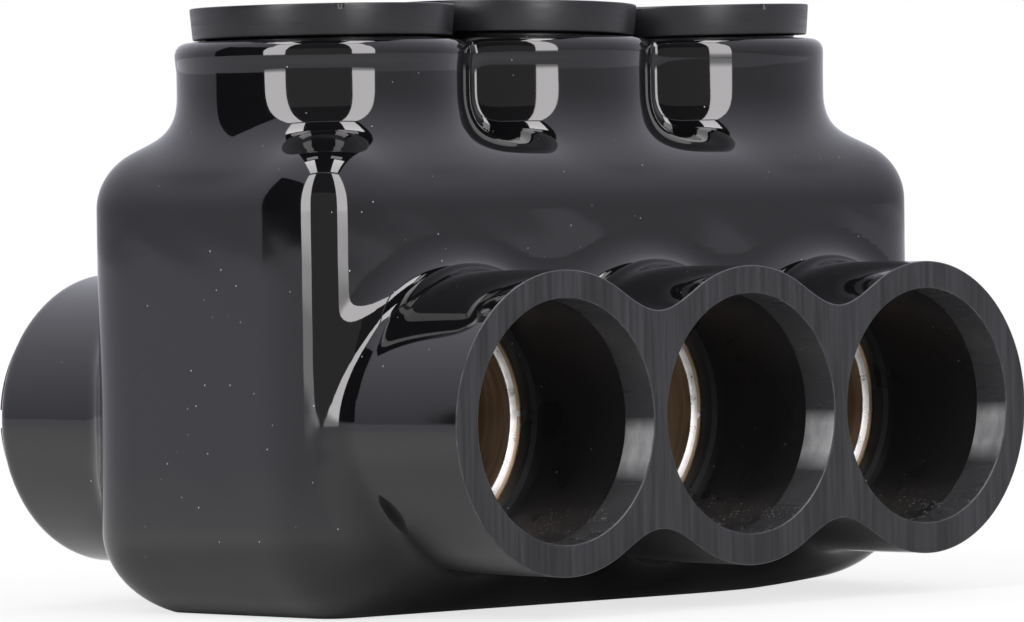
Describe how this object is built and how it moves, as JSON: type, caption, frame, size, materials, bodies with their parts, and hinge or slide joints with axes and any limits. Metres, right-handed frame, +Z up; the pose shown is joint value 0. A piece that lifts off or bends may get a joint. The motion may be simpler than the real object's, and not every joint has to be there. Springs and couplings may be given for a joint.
{
  "type": "insulated multi-tap connector",
  "caption": "Dip-insulated connector block with a row of through ports, set screws under round access plugs, and plugs in the back ports.",
  "frame": {"origin": "on the flat underside of the insulation, below the middle of the metal block", "axes": "+X along the row of ports, -Y out of the open ports at the front, +Z up through the access plugs"},
  "size_m": [0.0886, 0.0716, 0.0621],
  "materials": {
    "glossy_insulation": "glossy",
    "plug_plastic": "satin",
    "tinned_aluminium": "tin-plated, satin",
    "screw_metal": "plated, satin"
  },
  "bodies": {
    "connector": {"insulating_cover": "glossy_insulation", "connector_block": "tinned_aluminium"},
    "access_plug_1": {"access_plug_1": "plug_plastic"},
    "set_screw_1": {"set_screw_1": "screw_metal"},
    "port_plug_1": {"port_plug_1": "plug_plastic"},
    "access_plug_2": {"access_plug_2": "plug_plastic"},
    "set_screw_2": {"set_screw_2": "screw_metal"},
    "port_plug_2": {"port_plug_2": "plug_plastic"},
    "access_plug_3": {"access_plug_3": "plug_plastic"},
    "set_screw_3": {"set_screw_3": "screw_metal"},
    "port_plug_3": {"port_plug_3": "plug_plastic"}
  },
  "joints": [
    {"name": "access_plug_1_lift", "type": "slide", "parent": "connector", "child": "access_plug_1", "axis": [0, 0, 1], "range_m": [0, 0.014]},
    {"name": "set_screw_1_advance", "type": "slide", "parent": "connector", "child": "set_screw_1", "axis": [0, 0, -1], "range_m": [0, 0.01588]},
    {"name": "port_plug_1_pull", "type": "slide", "parent": "connector", "child": "port_plug_1", "axis": [0, 1, 0], "range_m": [0, 0.014]},
    {"name": "access_plug_2_lift", "type": "slide", "parent": "connector", "child": "access_plug_2", "axis": [0, 0, 1], "range_m": [0, 0.014]},
    {"name": "set_screw_2_advance", "type": "slide", "parent": "connector", "child": "set_screw_2", "axis": [0, 0, -1], "range_m": [0, 0.01588]},
    {"name": "port_plug_2_pull", "type": "slide", "parent": "connector", "child": "port_plug_2", "axis": [0, 1, 0], "range_m": [0, 0.014]},
    {"name": "access_plug_3_lift", "type": "slide", "parent": "connector", "child": "access_plug_3", "axis": [0, 0, 1], "range_m": [0, 0.014]},
    {"name": "set_screw_3_advance", "type": "slide", "parent": "connector", "child": "set_screw_3", "axis": [0, 0, -1], "range_m": [0, 0.01588]},
    {"name": "port_plug_3_pull", "type": "slide", "parent": "connector", "child": "port_plug_3", "axis": [0, 1, 0], "range_m": [0, 0.014]}
  ]
}
